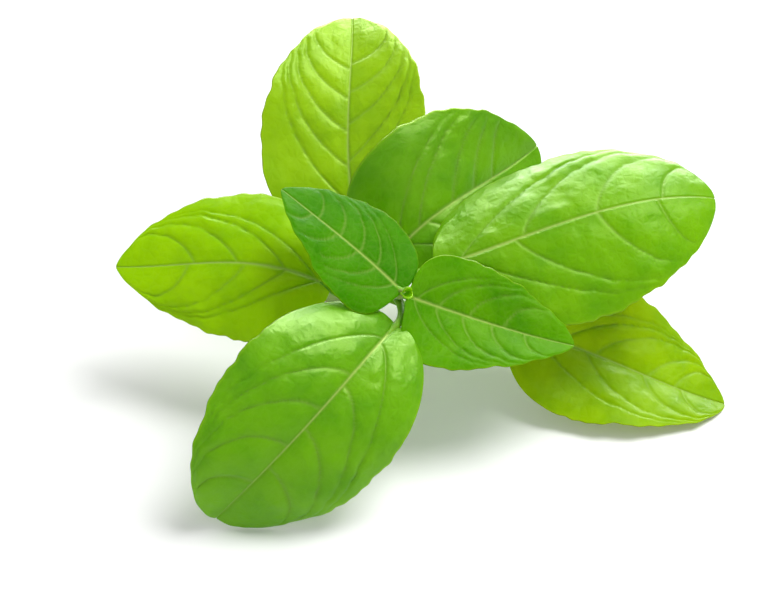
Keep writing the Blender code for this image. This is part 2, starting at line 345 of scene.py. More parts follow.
def waved(leaf, shares, across, wave, waves):
    """How far the blade rises in slow waves towards its margins."""
    reach = np.abs(across) / (leaf.width / 2)
    phase = 2 * np.pi * waves * shares[:, None] + np.where(across < 0, 1.9, 0.2) + leaf.length * 400
    fade = np.clip(shares * 6, 0, 1) * np.clip((1 - shares) * 6, 0, 1)
    return wave * reach**2 * np.sin(phase) * fade[:, None]


def blade_surface(leaf, shares, across, look):
    """Places and outward directions of points on a blade, with shares down and across to the side."""
    _, midrib, sides, ups = leaf_paths(leaf)
    middle = read_off(midrib, shares)[:, None]
    side = unit(read_off(sides, shares))[:, None]
    up = unit(read_off(ups, shares))[:, None]
    sideways, upward, slope = bent_across(leaf, across)
    upward = upward + waved(leaf, shares, across, look.wave_height * leaf.length / 0.06, look.waves)
    places = middle + side * sideways[..., None] + up * upward[..., None]
    return places, up * np.cos(slope)[..., None] - side * np.sin(slope)[..., None]


def vein_forward(leaf, reach):
    """How far forward a side vein has swept at this reach, as a share of what is left of the midrib."""
    return np.minimum(leaf.lean * reach + leaf.arch * reach**2, 0.85)


def vein_order(leaf, shares, across_share):
    """Which side vein a point is at, as a number that is whole on a vein, and the space between veins."""
    forward = vein_forward(leaf, np.abs(across_share))
    places = (shares[:, None] - forward) / (1 - forward)
    order = np.zeros_like(places)
    space = np.zeros_like(places)
    end_gap = 0.16
    for starts, chosen in ((leaf.left, across_share < 0), (leaf.right, across_share >= 0)):
        starts = np.array(starts)
        here = places[chosen]
        count = np.interp(here, starts, np.arange(len(starts)))
        before = np.clip(starts[0] - here, 0, None)
        after = np.clip(here - starts[-1], 0, None)
        count -= 0.5 * (1 - np.exp(-before / end_gap * 2))
        count += 0.5 * (1 - np.exp(-after / end_gap * 2))
        gaps = np.concatenate([[end_gap], np.diff(starts), [end_gap]])
        index = np.searchsorted(starts, here)
        order[chosen] = count
        space[chosen] = gaps[index] * leaf.length * 0.85
    return order, space


# Mesh and node helpers.


def add(tree, kind, inputs=None, **settings):
    """A node with its settings and inputs. A node given as an input means its first output."""
    made = tree.nodes.new(kind)
    for name, value in settings.items():
        setattr(made, name, value)
    for name, value in (inputs or {}).items():
        if isinstance(value, bpy.types.Node):
            value = value.outputs[0]
        if isinstance(value, bpy.types.NodeSocket):
            tree.links.new(value, made.inputs[name])
        else:
            made.inputs[name].default_value = value
    return made


def quad_mesh(name, points, quads):
    mesh = bpy.data.meshes.new(name)
    mesh.vertices.add(len(points))
    mesh.vertices.foreach_set("co", np.ascontiguousarray(points, np.float32).ravel())
    mesh.loops.add(quads.size)
    mesh.loops.foreach_set("vertex_index", np.ascontiguousarray(quads, np.int32).ravel())
    mesh.polygons.add(len(quads))
    mesh.polygons.foreach_set("loop_start", np.arange(0, quads.size, 4, dtype=np.int32))
    mesh.update(calc_edges=True)
    return mesh


def store(mesh, name, values):
    """A named value for each point of a mesh, a number or a vector."""
    vector = values.ndim == 2
    kind = "FLOAT_VECTOR" if vector else "FLOAT"
    made = mesh.attributes.new(name, kind, "POINT")
    made.data.foreach_set("vector" if vector else "value", np.ascontiguousarray(values, np.float32).ravel())


def new_tree(name, sockets):
    """A geometry tree whose inputs are a geometry and these named sockets, and its input node."""
    tree = bpy.data.node_groups.new(name, "GeometryNodeTree")
    tree.interface.new_socket("Geometry", in_out="INPUT", socket_type="NodeSocketGeometry")
    for label, kind in sockets:
        tree.interface.new_socket(label, in_out="INPUT", socket_type=kind)
    tree.interface.new_socket("Geometry", in_out="OUTPUT", socket_type="NodeSocketGeometry")
    return tree, add(tree, "NodeGroupInput").outputs


def finish_tree(tree, geometry, finish):
    """Ends a tree: instances made real, then the material set."""
    real = add(tree, "GeometryNodeRealizeInstances", {"Geometry": geometry})
    clad = add(tree, "GeometryNodeSetMaterial", {"Geometry": real.outputs[0], "Material": finish})
    add(tree, "NodeGroupOutput", {"Geometry": clad.outputs[0]})


def grown(name, mesh, tree, values):
    """The plain mesh object that a tree makes from a mesh."""
    seed_object = bpy.data.objects.new(name + "_seed", mesh)
    bpy.context.scene.collection.objects.link(seed_object)
    modifier = seed_object.modifiers.new("Growth", "NODES")
    modifier.node_group = tree
    for item in tree.interface.items_tree:
        if item.item_type == "SOCKET" and item.in_out == "INPUT" and item.name in values:
            modifier[item.identifier] = values[item.name]
    graph = bpy.context.evaluated_depsgraph_get()
    made = bpy.data.meshes.new_from_object(seed_object.evaluated_get(graph))
    made.name = name
    bpy.data.objects.remove(seed_object)
    if not made.polygons:
        raise RuntimeError(f"{name} came out empty")
    piece = bpy.data.objects.new(name, made)
    bpy.context.scene.collection.objects.link(piece)
    return piece


def keep_above_table(piece):
    """Lifts any point that hangs under the table back onto it."""
    points = np.empty(len(piece.data.vertices) * 3, np.float32)
    piece.data.vertices.foreach_get("co", points)
    points[2::3] = np.maximum(points[2::3], TABLE_CLEARANCE)
    piece.data.vertices.foreach_set("co", points)
    piece.data.update()


# Leaf blades.


def blade_faces(rows, columns):
    """Quads of a blade's two faces, which share the points on its margin, and which points lie inside it."""
    count = rows * columns
    index = np.arange(count).reshape(rows, columns)
    inner = np.zeros((rows, columns), bool)
    inner[1:-1, 1:-1] = True
    below = index.copy()
    below[inner] = count + np.arange(inner.sum())
    top = np.stack([index[:-1, :-1], index[:-1, 1:], index[1:, 1:], index[1:, :-1]], axis=-1)
    under = np.stack([below[:-1, :-1], below[1:, :-1], below[1:, 1:], below[:-1, 1:]], axis=-1)
    return np.vstack([top.reshape(-1, 4), under.reshape(-1, 4)]), inner.ravel()


def blade_grid(leaf, look, spacing):
    """A closed thin blade with named values on its points, before its relief."""
    rows = int(leaf.length / spacing) + 1
    columns = int(leaf.width / spacing / 2) * 2 + 1
    even = np.linspace(0, 1, rows)
    shares = FIRST_ROW + (1 - 2 * FIRST_ROW) * (even - ROWS_TOWARD_ENDS * np.sin(2 * np.pi * even))
    across_share = np.linspace(-1, 1, columns)[None, :].repeat(rows, axis=0)
    tooth = look.tooth_depth if leaf.length > SHORTEST_TOOTHED else 0.0
    across = across_at(leaf, shares, across_share, tooth)
    places, lifts = blade_surface(leaf, shares, across, look)
    thin = np.sqrt(np.clip(1 - np.abs(across_share) ** 7, 0, 1))
    thin = thin * np.clip(np.minimum(even, 1 - even) * rows / 4, 0, 1)[:, None]
    half_gap = lifts * (look.blade_thickness / 2 * thin)[..., None]
    top = (places + half_gap).reshape(-1, 3)
    under = (places - half_gap).reshape(-1, 3)
    quads, inner = blade_faces(rows, columns)
    mesh = quad_mesh(leaf.name, np.vstack([top, under[inner]]), quads)
    order, space = vein_order(leaf, shares, across_share)
    along = shares[:, None] + across * 0
    flat = np.stack([along * leaf.length, across, across * 0], axis=-1).reshape(-1, 3)
    named = {"order": order.ravel(), "space": space.ravel(), "across": across_share.ravel()}
    named |= {"along": along.ravel(), "flat": flat, "lift": lifts.reshape(-1, 3)}
    for name, values in named.items():
        store(mesh, name, np.concatenate([values, values[inner]]))
    store(mesh, "face", np.concatenate([np.ones(len(top)), np.zeros(inner.sum())]))
    return mesh


def blade_values(tree):
    """The values that a blade's points carry, and what follows from them."""
    kinds = {"order": "FLOAT", "space": "FLOAT", "along": "FLOAT", "across": "FLOAT"}
    kinds |= {"flat": "FLOAT_VECTOR", "lift": "FLOAT_VECTOR"}
    blade = {name: add(tree, NAMED, {"Name": name}, data_type=kind) for name, kind in kinds.items()}
    aside = add(tree, "ShaderNodeSeparateXYZ", {0: blade["flat"]}).outputs[1]
    blade["aside"] = add(tree, SUM, {0: aside}, operation="ABSOLUTE")
    blade["reach"] = add(tree, SUM, {0: blade["across"]}, operation="ABSOLUTE")
    part = add(tree, SUM, {0: blade["order"]}, operation="FRACT")
    part = add(tree, SUM, {0: part, 1: 0.5}, operation="SUBTRACT")
    blade["from_middle"] = add(tree, SUM, {0: part}, operation="ABSOLUTE")
    blade["off_rib"] = add(tree, EASE, {0: blade["aside"], 1: 0.0, 2: 0.004}, **SOFT)
    return blade


def vein_grooves(tree, given, blade):
    """The grooves over the veins, and the pale lines in them, both fading out before the margin."""
    from_vein = add(tree, SUM, {0: 0.5, 1: blade["from_middle"]}, operation="SUBTRACT")
    from_vein = add(tree, SUM, {0: from_vein, 1: blade["space"]}, operation="MULTIPLY")
    thinning = add(tree, EASE, {0: blade["reach"], 1: 0.0, 2: 1.0, 3: 1.0, 4: 0.55})
    vein_width = add(tree, SUM, {0: given["Vein width"], 1: thinning}, operation="MULTIPLY")
    narrowing = add(tree, EASE, {0: blade["along"], 1: 0.0, 2: 1.0, 3: 1.0, 4: 0.3})
    rib_width = add(tree, SUM, {0: given["Midrib width"], 1: narrowing}, operation="MULTIPLY")
    fading = add(tree, EASE, {0: blade["reach"], 1: 0.60, 2: 0.95, 3: 1.0, 4: 0.0}, **SOFT)
    made = []
    for vein_share, rib_share, strength in ((1.0, 1.0, 1.0), (0.85, 0.6, 0.32)):
        side = add(tree, SUM, {0: vein_width, 1: vein_share}, operation="MULTIPLY")
        side = add(tree, EASE, {0: from_vein, 1: 0.0, 2: side, 3: strength, 4: 0.0}, **SOFT)
        side = add(tree, SUM, {0: side, 1: fading}, operation="MULTIPLY")
        rib = add(tree, SUM, {0: rib_width, 1: rib_share}, operation="MULTIPLY")
        rib = add(tree, EASE, {0: blade["aside"], 1: 0.0, 2: rib, 3: 1.0, 4: 0.0}, **SOFT)
        made.append(add(tree, SUM, {0: side, 1: rib}, operation="MAXIMUM"))
    return made


def puffed_fields(tree, given, blade):
    """A dome between veins, lower where veins are close, at the midrib and at the margin."""
    dome = add(tree, SUM, {0: blade["from_middle"], 1: 2.0}, operation="MULTIPLY")
    dome = add(tree, SUM, {0: dome, 1: 2.0}, operation="POWER")
    puff = add(tree, SUM, {0: 1.0, 1: dome}, operation="SUBTRACT")
    roomy = add(tree, EASE, {0: blade["space"], 1: 0.0, 2: 0.009})
    off_margin = add(tree, EASE, {0: blade["reach"], 1: 0.80, 2: 1.0, 3: 1.0, 4: 0.2}, **SOFT)
    uneven = add(tree, NOISE, {"Vector": blade["flat"], "Scale": PER_MM / 9})
    uneven = add(tree, EASE, {0: uneven, 1: 0.36, 2: 0.62, 3: 0.35, 4: 1.0})
    for factor in (roomy, blade["off_rib"], off_margin, uneven, given["Puff height"]):
        puff = add(tree, SUM, {0: puff, 1: factor}, operation="MULTIPLY")
    return puff


def small_puckers(tree, given, blade, groove):
    """Small puckers between the finer veins, flatter in the grooves."""
    shift = add(tree, "ShaderNodeCombineXYZ", {2: given["Seed"]})
    moved = add(tree, "ShaderNodeVectorMath", {0: blade["flat"], 1: shift}, operation="ADD")
    scale = add(tree, SUM, {0: 1.0, 1: given["Pucker size"]}, operation="DIVIDE")
    cells = {"Vector": moved, "Scale": scale, "Smoothness": 0.6, "Randomness": 0.85}
    cells = add(tree, CELLS, cells, feature="SMOOTH_F1")
    pucker = add(tree, SUM, {0: 0.45, 1: cells}, operation="SUBTRACT")
    flatter = add(tree, SUM, {0: 1.0, 1: groove}, operation="SUBTRACT")
    for factor in (given["Pucker height"], flatter, blade["off_rib"]):
        pucker = add(tree, SUM, {0: pucker, 1: factor}, operation="MULTIPLY")
    return pucker


def relief_tree():
    """Leaf relief: sunken veins, a puffed field between each two of them, and small puckers."""
    lengths = ("Puff height", "Vein depth", "Vein width", "Midrib width", "Pucker height", "Pucker size")
    sockets = [(label, "NodeSocketFloat") for label in lengths]
    sockets += [("Seed", "NodeSocketInt"), ("Finish", "NodeSocketMaterial")]
    tree, given = new_tree("Leaf relief", sockets)
    blade = blade_values(tree)
    groove, line = vein_grooves(tree, given, blade)
    puff = puffed_fields(tree, given, blade)
    pucker = small_puckers(tree, given, blade, groove)
    sunk = add(tree, SUM, {0: groove, 1: given["Vein depth"]}, operation="MULTIPLY")
    height = add(tree, SUM, {0: puff, 1: pucker}, operation="ADD")
    height = add(tree, SUM, {0: height, 1: sunk}, operation="SUBTRACT")
    offset = add(tree, "ShaderNodeVectorMath", {0: blade["lift"], "Scale": height}, operation="SCALE")
    shape = add(tree, "GeometryNodeSetPosition", {"Geometry": given["Geometry"], "Offset": offset})
    shape = {"Geometry": shape, "Name": "vein", "Value": line}
    shape = add(tree, "GeometryNodeStoreNamedAttribute", shape, data_type="FLOAT", domain="POINT")
    finish_tree(tree, add(tree, "GeometryNodeSetShadeSmooth", {"Geometry": shape}), given["Finish"])
    return tree


def add_blade(leaf, tree, look, spacing, finish, seed):
    mesh = blade_grid(leaf, look, spacing)
    scale = min(1.0, leaf.length / FULL_RELIEF_FROM)
    narrower = min(1.0, leaf.length / FULL_GROOVES_FROM)
    values = {
        "Puff height": look.puff_height * scale,
        "Vein depth": look.vein_depth * scale,
        "Vein width": look.vein_width * narrower,
        "Midrib width": look.midrib_width * narrower,
        "Pucker height": look.pucker_height * scale,
        "Pucker size": look.pucker_size * scale,
        "Seed": seed,
        "Finish": finish,
    }
    blade = grown(leaf.name + "_blade", mesh, tree, values)
    keep_above_table(blade)
    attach(blade, "root")
    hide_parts(leaf.name)
    return blade


# Stalks, midribs and side veins.


def sweep_tree():
    """Rib sweep: a round rod along every line, as thick as each point's own value."""
    sockets = (("Points round", "NodeSocketInt"), ("Finish", "NodeSocketMaterial"))
    tree, given = new_tree("Rib sweep", sockets)
    lines = add(tree, "GeometryNodeMeshToCurve", {"Mesh": given["Geometry"]})
    thick = add(tree, NAMED, {"Name": "thick"}, data_type="FLOAT")
    circle = {"Resolution": given["Points round"], "Radius": 1.0}
    circle = add(tree, "GeometryNodeCurvePrimitiveCircle", circle, mode="RADIUS")
    rods = {"Curve": lines, "Profile Curve": circle, "Scale": thick, "Fill Caps": True}
    rods = add(tree, "GeometryNodeCurveToMesh", rods)
    finish_tree(tree, add(tree, "GeometryNodeSetShadeSmooth", {"Geometry": rods}), given["Finish"])
    return tree


def lines_mesh(name, lines, share_name):
    """A mesh of separate lines, each given as points, half thicknesses and shares kept under a name."""
    mesh = bpy.data.meshes.new(name)
    points = np.vstack([line[0] for line in lines])
    edges = []
    start = 0
    for line in lines:
        count = len(line[0])
        edges += [(start + k, start + k + 1) for k in range(count - 1)]
        start += count
    mesh.from_pydata(points.tolist(), edges, [])
    store(mesh, "thick", np.concatenate([line[1] for line in lines]))
    store(mesh, share_name, np.concatenate([line[2] for line in lines]))
    return mesh


def main_rib(leaf, look):
    """The stalk from inside the stem, which goes on under the blade as its midrib."""
    stalk, _, _, _ = leaf_paths(leaf)
    width = STALK_WIDTH + STALK_WIDTH_PER_LENGTH * leaf.length
    share = np.linspace(0, 1, STALK_POINTS)
    places = read_off(stalk, share)
    flare = 1 + 0.25 * np.exp(-((share * leaf.stalk / 0.0022) ** 2))
    thick = width / 2 * 0.92 * flare
    under = np.linspace(0, 1, MIDRIB_POINTS)[1:] ** 1.25 * 0.965
    surface, lifts = blade_surface(leaf, under, np.zeros((len(under), 1)), look)
    rib = width / 2 * 0.92 * (1 - under) ** 0.9 + 0.00010
    drop = np.clip(under / 0.07, 0, 1) ** 0.7 * (look.vein_depth + rib * 0.9)
    surface = surface[:, 0] - lifts[:, 0] * drop[:, None]
    return np.vstack([places, surface]), np.concatenate([thick, rib]), np.concatenate([share * 0, under])


def side_ribs(leaf, look):
    """The side veins that stand out under the blade."""
    lines = []
    for starts, turn in ((leaf.left, -1), (leaf.right, 1)):
        for start in starts:
            reach = np.linspace(0.02, 0.86, SIDE_RIB_POINTS)
            shares = start + (1 - start) * vein_forward(leaf, reach)
            across = across_at(leaf, shares, turn * reach[:, None])
            surface, lifts = blade_surface(leaf, shares, across, look)
            thick = 0.00034 * (1 - start) ** 0.4 * (1 - reach) ** 0.8 + 0.00007
            drop = look.vein_depth + thick * 0.9
            lines.append((surface[:, 0] - lifts[:, 0] * drop[:, None], thick, shares))
    return lines


def add_ribs(leaf, tree, look, points_round, finish):
    mesh = lines_mesh(leaf.name, [main_rib(leaf, look)] + side_ribs(leaf, look), "under_blade")
    ribs = grown(leaf.name + "_stalk", mesh, tree, {"Points round": points_round, "Finish": finish})
    keep_above_table(ribs)
    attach(ribs, "root")
    return ribs


# The stem, with its cut end.


def stem_half_width(along):
    """Half the width across the stem's flats, which swells where leaves grow and narrows into the bud."""
    plain = STEM_WIDTH_AT_BUD + (STEM_WIDTH_AT_CUT - STEM_WIDTH_AT_BUD) * along / STEM_LENGTH
    for place in sorted({leaf.along for leaf in LEAVES}):
        plain = plain * (1 + NODE_SWELLING * np.exp(-(((along - place) / NODE_SPREAD) ** 2)))
    return plain / 2 * np.interp(along, [0.0, 0.003], [0.5, 1.0])


def stem_tree():
    """Stem sweep: a square rod with rounded corners along the stem's line."""
    sockets = (("Corner share", "NodeSocketFloat"), ("Finish", "NodeSocketMaterial"))
    tree, given = new_tree("Stem sweep", sockets)
    line = add(tree, "GeometryNodeMeshToCurve", {"Mesh": given["Geometry"]})
    thick = add(tree, NAMED, {"Name": "thick"}, data_type="FLOAT")
    line = add(tree, "GeometryNodeSetCurveNormal", {"Curve": line}, mode="Z_UP")
    square = {"Width": 2.0, "Height": 2.0}
    square = add(tree, "GeometryNodeCurvePrimitiveQuadrilateral", square, mode="RECTANGLE")
    rounded = {"Curve": square, "Radius": given["Corner share"], "Count": 6}
    rounded = add(tree, "GeometryNodeFilletCurve", rounded, mode="POLY")
    rod = {"Curve": line, "Profile Curve": rounded, "Scale": thick, "Fill Caps": True}
    rod = add(tree, "GeometryNodeCurveToMesh", rod)
    finish_tree(tree, add(tree, "GeometryNodeSetShadeSmooth", {"Geometry": rod}), given["Finish"])
    return tree


def sink_cut_end(mesh):
    """Rings on the cut end: a raised green rim, then the paler pith a little below it."""
    direction = Vector(pointing(*STEM_DIRECTION))
    shape = bmesh.new()
    shape.from_mesh(mesh)
    shape.faces.ensure_lookup_table()
    end = max(shape.faces, key=lambda face: face.calc_center_median().dot(direction) * (len(face.verts) > 4))
    for thickness, depth in CUT_RINGS:
        bmesh.ops.inset_region(shape, faces=[end], thickness=thickness, depth=depth)
        if depth:
            end.material_index = 1
    for face in shape.faces:
        if face.material_index == 1:
            face.smooth = False
    shape.to_mesh(mesh)
    shape.free()


def add_stem(tree, look, finish, cut_finish):
    along = np.linspace(0, STEM_LENGTH, STEM_POINTS)
    half = stem_half_width(along)
    places = BUD_PLACE + pointing(*STEM_DIRECTION) * along[:, None]
    mesh = lines_mesh("stem", [(places, half, along / STEM_LENGTH)], "toward_cut")
    stem = grown("stem_rod", mesh, tree, {"Corner share": look.corner_share, "Finish": finish})
    stem.data.materials.append(cut_finish)
    sink_cut_end(stem.data)
    keep_above_table(stem)
    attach(stem, "root")
    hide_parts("stem")
    return stem


# Fine hairs.


def hair_tree():
    """Fine hairs: thin cones scattered on a surface, each leaning its own way."""
    values = ("Hairs per area", "Hair length", "Hair thickness")
    sockets = [(label, "NodeSocketFloat") for label in values]
    sockets += [("Seed", "NodeSocketInt"), ("Finish", "NodeSocketMaterial")]
    tree, given = new_tree("Fine hairs", sockets)
    along = add(tree, NAMED, {"Name": "under_blade"}, data_type="FLOAT")
    bare = add(tree, "FunctionNodeCompare", {0: along, 1: 0.03}, data_type="FLOAT", operation="LESS_THAN")
    spread = {
        "Mesh": given["Geometry"],
        "Selection": bare,
        "Density": given["Hairs per area"],
        "Seed": given["Seed"],
    }
    spread = add(tree, "GeometryNodeDistributePointsOnFaces", spread, distribute_method="RANDOM")
    cone = {
        "Vertices": 3,
        "Radius Top": 0.0,
        "Radius Bottom": given["Hair thickness"],
        "Depth": given["Hair length"],
    }
    cone = add(tree, "GeometryNodeMeshCone", cone, fill_type="TRIANGLE_FAN")
    lean = {0: (-0.7, -0.7, -3.1), 1: (0.7, 0.7, 3.1), "Seed": given["Seed"]}
    lean = add(tree, "FunctionNodeRandomValue", lean, data_type="FLOAT_VECTOR")
    lean = add(tree, "FunctionNodeEulerToRotation", {0: lean})
    turned = {"Rotation": spread.outputs["Rotation"], "Rotate By": lean}
    turned = add(tree, "FunctionNodeRotateRotation", turned, rotation_space="LOCAL")
    size = {2: 0.45, 3: 1.1, "Seed": given["Seed"]}
    size = add(tree, "FunctionNodeRandomValue", size, data_type="FLOAT")
    hairs = {"Points": spread, "Instance": cone, "Rotation": turned, "Scale": size.outputs[1]}
    hairs = add(tree, "GeometryNodeInstanceOnPoints", hairs)
    finish_tree(tree, hairs, given["Finish"])
    return tree


def add_hairs(tree, look, finish, hosts):
    """Hairs on the stem and the stalks, as one piece."""
    joined = bmesh.new()
    for host in hosts:
        joined.from_mesh(host.data)
    mesh = bpy.data.meshes.new("hair_host")
    joined.to_mesh(mesh)
    joined.free()
    values = {
        "Hairs per area": look.hairs_per_square_mm * PER_MM**2,
        "Hair length": look.hair_length,
        "Hair thickness": look.hair_thickness / 2,
        "Seed": look.seed,
        "Finish": finish,
    }
    hairs = grown("fine_hairs", mesh, tree, values)
    keep_above_table(hairs)
    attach(hairs, "root")
    return hairs


# Finishes.


def new_material(name):
    material = bpy.data.materials.new(name)
    material.use_nodes = True
    material.node_tree.nodes.clear()
    return material, material.node_tree


def fresh_leaf(name, finish, look, rim=0.965):
    """Fresh living leaf: a waxy skin with a satin gloss, a net of pale veins, and light glowing through.

    From rim outwards, as a share of the blade's reach, the colour goes over to that of the margin.
    """
    material, tree = new_material(name)
    # The deep and light greens are partly the leaf's own tone and partly painted light and shade, set apart
    # for each leaf.
    deep, light, glow = [(*linear(code), 1.0) for code in finish[:3]]
    plain = (look.vein_colour, look.edge_colour, look.underside_colour)
    pale, margin, dull = [(*colour, 1.0) for colour in plain]
    flat = add(tree, READ, attribute_name="flat").outputs["Vector"]
    values = [add(tree, READ, attribute_name=kept) for kept in ("vein", "face", "across")]
    vein, face, across = [value.outputs["Fac"] for value in values]
    reach = add(tree, SUM, {0: across}, operation="ABSOLUTE")

    # Slow drifts of green about 12 mm wide, and a finer mottle about 2.5 mm wide.
    drift = add(tree, NOISE, {"Vector": flat, "Scale": PER_MM / 12, "Detail": 3.0})
    drift = add(tree, EASE, {0: drift, 1: 0.30, 2: 0.70, 3: 0.2, 4: 0.8}, **SOFT)
    mottle = add(tree, NOISE, {"Vector": flat, "Scale": PER_MM / 2.5, "Detail": 4.0})
    mottle = add(tree, EASE, {0: mottle, 1: 0.3, 2: 0.7, 3: 0.0, 4: 0.35})
    layers = [(drift, light), (mottle, light)]

    # The net of fine veins has meshes 1.9 mm wide, and a finer one 0.8 mm wide in them.
    nets = []
    for mesh_width, line_width, strength in ((1.9, 0.11, 0.04), (0.8, 0.16, 0.025)):
        net = {"Vector": flat, "Scale": PER_MM / mesh_width, "Randomness": 0.9}
        nets.append(add(tree, CELLS, net, feature="DISTANCE_TO_EDGE"))
        line = {0: nets[-1], 1: 0.0, 2: line_width, 3: strength, 4: 0.0}
        layers.append((add(tree, EASE, line, **SOFT), pale))

    # Over them lie the veins, the thin margin and the matt lower face.
    strong = add(tree, SUM, {0: vein, 1: 0.8}, operation="MULTIPLY")
    edge = add(tree, EASE, {0: reach, 1: rim, 2: 1.0, 3: 0.0, 4: 0.6})
    under = add(tree, EASE, {0: face, 1: 0.0, 2: 1.0, 3: 0.6, 4: 0.0})
    layers += [(strong, pale), (edge, margin), (under, dull)]
    green = deep
    for share, colour in layers:
        green = add(tree, BLEND, {0: share, 6: green, 7: colour}, **COLOUR).outputs[2]

    rough = add(tree, EASE, {0: mottle, 1: 0.0, 2: 0.35, 3: 0.29, 4: 0.38})
    rough = add(tree, SUM, {0: rough, 1: under}, operation="MAXIMUM")

    # Skin cells are drawn 0.3 mm wide, coarser than they are, so that their grain shows.
    skin = add(tree, NOISE, {"Vector": flat, "Scale": PER_MM / 0.3, "Detail": 2.0})
    rounded = add(tree, EASE, {0: nets[0], 1: 0.0, 2: 0.35}, **SOFT)
    bump = add(tree, "ShaderNodeBump", {"Height": skin, "Distance": 0.00003, "Strength": 0.6})
    bump = {"Height": rounded, "Distance": 0.00005, "Strength": 0.7, "Normal": bump}
    bump = add(tree, "ShaderNodeBump", bump)

    waxy = {"Base Color": green, "Roughness": rough, "Normal": bump, "IOR": 1.42}
    waxy |= {"Specular IOR Level": finish[3], "Specular Tint": (0.72, 1.0, 0.30, 1.0)}
    waxy = add(tree, "ShaderNodeBsdfPrincipled", waxy)
    shade = add(tree, SUM, {0: vein, 1: 0.5}, operation="MULTIPLY")
    shining = add(tree, BLEND, {0: shade, 6: glow, 7: deep}, **COLOUR).outputs[2]
    shining = add(tree, "ShaderNodeBsdfTranslucent", {"Color": shining, "Normal": bump})
    both = add(tree, "ShaderNodeMixShader", {0: 0.42, 1: waxy, 2: shining})
    add(tree, "ShaderNodeOutputMaterial", {"Surface": both})
    return material


def fresh_stalk(look):
    """Juicy green stalk: smooth and slightly glossy, paler than the blade, with a fine grain."""
    material, tree = new_material("Fresh green stalk")
    spot = add(tree, "ShaderNodeTexCoord").outputs["Object"]
    cloud = add(tree, NOISE, {"Vector": spot, "Scale": PER_MM / 3, "Detail": 4.0})
    cloud = add(tree, EASE, {0: cloud, 1: 0.35, 2: 0.65})
    pale = (*look.stalk_colour, 1.0)
    darker = (*(value * 0.72 for value in look.stalk_colour), 1.0)
    green = add(tree, BLEND, {0: cloud, 6: pale, 7: darker}, **COLOUR).outputs[2]
    grain = add(tree, NOISE, {"Vector": spot, "Scale": PER_MM / 0.35, "Detail": 2.0})
    bump = add(tree, "ShaderNodeBump", {"Height": grain, "Distance": 0.00005, "Strength": 0.7})
    rough = add(tree, EASE, {0: grain, 1: 0.3, 2: 0.7, 3: 0.34, 4: 0.5})
    shader = {"Base Color": green, "Roughness": rough, "Normal": bump, "IOR": 1.4}
    shader |= {"Subsurface Weight": 0.25, "Subsurface Scale": 0.001, "Specular IOR Level": 0.12}
    shader = add(tree, "ShaderNodeBsdfPrincipled", shader)
    add(tree, "ShaderNodeOutputMaterial", {"Surface": shader})
    return material


def downy_stem(look):
    """Soft green stem: satin, finely ridged along its length, bruised brown beside the cut."""
    material, tree = new_material("Downy green stem")
    share = add(tree, READ, attribute_name="toward_cut").outputs["Fac"]
    spot = add(tree, "ShaderNodeTexCoord").outputs["Object"]
    around, up = STEM_DIRECTION
    turned = {"Vector": spot, "Rotation": (0.0, np.radians(up), np.radians(-around))}
    turned = add(tree, "ShaderNodeMapping", turned, vector_type="POINT")
    drawn = add(tree, "ShaderNodeMapping", {"Vector": turned, "Scale": (0.08, 1.0, 1.0)})
    streak = add(tree, NOISE, {"Vector": drawn, "Scale": PER_MM / 0.5, "Detail": 3.0})
    cloud = add(tree, NOISE, {"Vector": spot, "Scale": PER_MM / 5, "Detail": 3.0})
    cloud = add(tree, EASE, {0: cloud, 1: 0.35, 2: 0.65})
    light = add(tree, EASE, {0: streak, 1: 0.45, 2: 0.75, 3: 0.0, 4: 0.35})
    wander = add(tree, SUM, {0: cloud, 1: 0.02}, operation="MULTIPLY")
    bruised = add(tree, SUM, {0: share, 1: wander}, operation="ADD")
    bruised = add(tree, EASE, {0: bruised, 1: 0.965, 2: 1.0, 3: 0.0, 4: 0.85}, **SOFT)
    darker = [value * 0.7 for value in look.stem_colour]
    green = (*look.stem_colour, 1.0)
    for layer, colour in ((cloud, darker), (light, look.stalk_colour), (bruised, look.cut_colour)):
        green = add(tree, BLEND, {0: layer, 6: green, 7: (*colour, 1.0)}, **COLOUR).outputs[2]
    bump = add(tree, "ShaderNodeBump", {"Height": streak, "Distance": 0.00012, "Strength": 0.8})
    rough = add(tree, EASE, {0: streak, 1: 0.3, 2: 0.7, 3: 0.42, 4: 0.58})
    shader = {"Base Color": green, "Roughness": rough, "Normal": bump, "IOR": 1.4}
    shader |= {"Sheen Weight": 0.25, "Sheen Roughness": 0.4, "Specular IOR Level": 0.2}
    shader = add(tree, "ShaderNodeBsdfPrincipled", shader)
    add(tree, "ShaderNodeOutputMaterial", {"Surface": shader})
    return material


def dried_cut(look):
    """Cut pith that has dried: matt, tan with darker pores."""
    material, tree = new_material("Dried cut pith")
    spot = add(tree, "ShaderNodeTexCoord").outputs["Object"]
    pores = add(tree, CELLS, {"Vector": spot, "Scale": PER_MM / 0.35})
    dark = add(tree, EASE, {0: pores, 1: 0.1, 2: 0.6})
    darker = (*(value * 0.45 for value in look.cut_colour), 1.0)
    tan = add(tree, BLEND, {0: dark, 6: darker, 7: (*look.cut_colour, 1.0)}, **COLOUR).outputs[2]
    bump = add(tree, "ShaderNodeBump", {"Height": pores, "Distance": 0.0001, "Strength": 0.9})
    shader = {"Base Color": tan, "Roughness": 0.75, "Normal": bump}
    shader = add(tree, "ShaderNodeBsdfPrincipled", shader)
    add(tree, "ShaderNodeOutputMaterial", {"Surface": shader})
    return material


